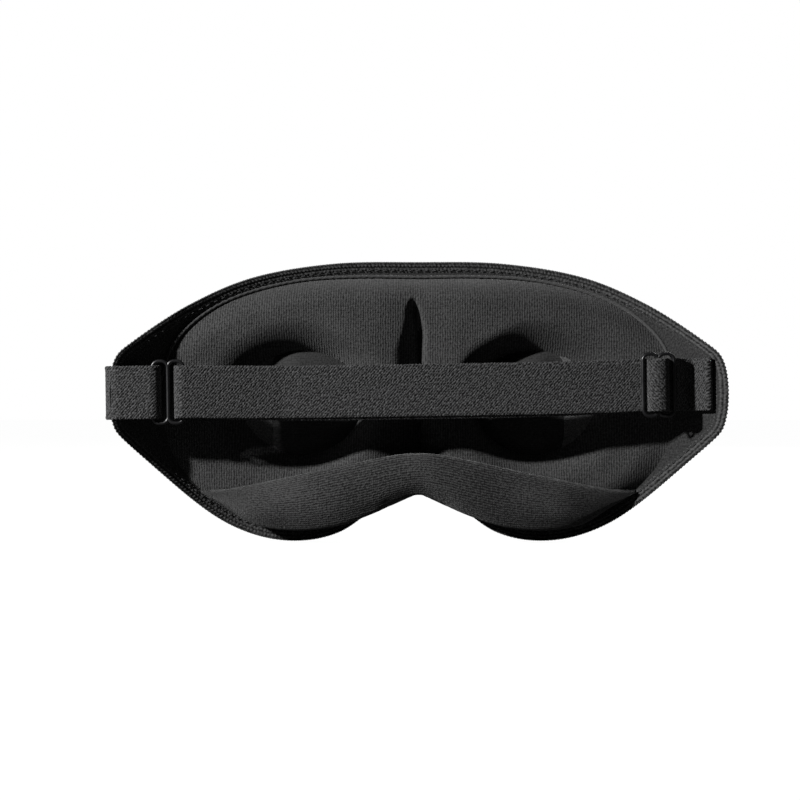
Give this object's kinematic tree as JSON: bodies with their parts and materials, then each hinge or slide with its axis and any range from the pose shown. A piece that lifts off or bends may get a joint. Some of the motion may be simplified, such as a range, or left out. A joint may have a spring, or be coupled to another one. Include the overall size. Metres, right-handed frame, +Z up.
{
  "type": "sleep eye mask",
  "caption": "Contoured sleep mask with a moulded face pad, two eye recesses, a nose flap and an elastic strap with a slide adjuster.",
  "frame": {"origin": "midway between the two eye recesses, on the eye line, level with the front of the wearer's eyes", "axes": "+X to the side with the slide adjuster, +Y away from the wearer's face, +Z up as worn"},
  "size_m": [0.2085, 0.0433, 0.0982],
  "materials": {
    "outer_fabric": "matte",
    "lining_fabric": "matte",
    "binding_knit": "matte",
    "rib_knit": "matte",
    "piping_cord": "satin",
    "flap_fabric": "matte",
    "foam": "matte",
    "elastic": "matte",
    "thread": "satin",
    "buckle_plastic": "gloss"
  },
  "bodies": {
    "mask": {"outer_cover": "outer_fabric", "foam_shell": "foam", "inner_lining": "lining_fabric", "edge_binding": "binding_knit", "edge_stitching": "thread", "pad_cover": "rib_knit", "pad_foam": "foam", "pad_piping": "piping_cord", "nose_flap_hem": "flap_fabric", "left_tab": "elastic", "left_tab_stitching": "thread", "main_strap": "elastic", "strap_tail": "elastic", "strap_tail_stitching": "thread"},
    "nose_flap": {"nose_flap_cover": "flap_fabric", "nose_flap_foam": "foam"},
    "left_buckle": {"left_buckle": "buckle_plastic"},
    "strap_wrap": {"strap_wrap": "elastic", "strap_end_loop": "elastic", "strap_end_stitching": "thread"},
    "slide_adjuster": {"slide_adjuster": "buckle_plastic"}
  },
  "joints": [
    {"name": "nose_flap_lift", "type": "hinge", "parent": "mask", "child": "nose_flap", "pos_m": [0, -0.0145, -0.046], "axis": [1, 0, 0], "range_deg": [-4, 20]},
    {"name": "left_buckle_pivot", "type": "hinge", "parent": "mask", "child": "left_buckle", "pos_m": [-0.08929, -0.031, -0.00032], "axis": [-0.0148, 0, 0.9999], "range_deg": [-6, 6]},
    {"name": "adjuster_slide", "type": "slide", "parent": "mask", "child": "strap_wrap", "axis": [-0.9999, 0, -0.0148], "range_m": [0, 0.11], "deforming": ["main_strap"]},
    {"name": "adjuster_tilt", "type": "hinge", "parent": "strap_wrap", "child": "slide_adjuster", "pos_m": [0.08039, -0.031, 0.00219], "axis": [-0.0148, 0, 0.9999], "range_deg": [-7, 7]}
  ]
}
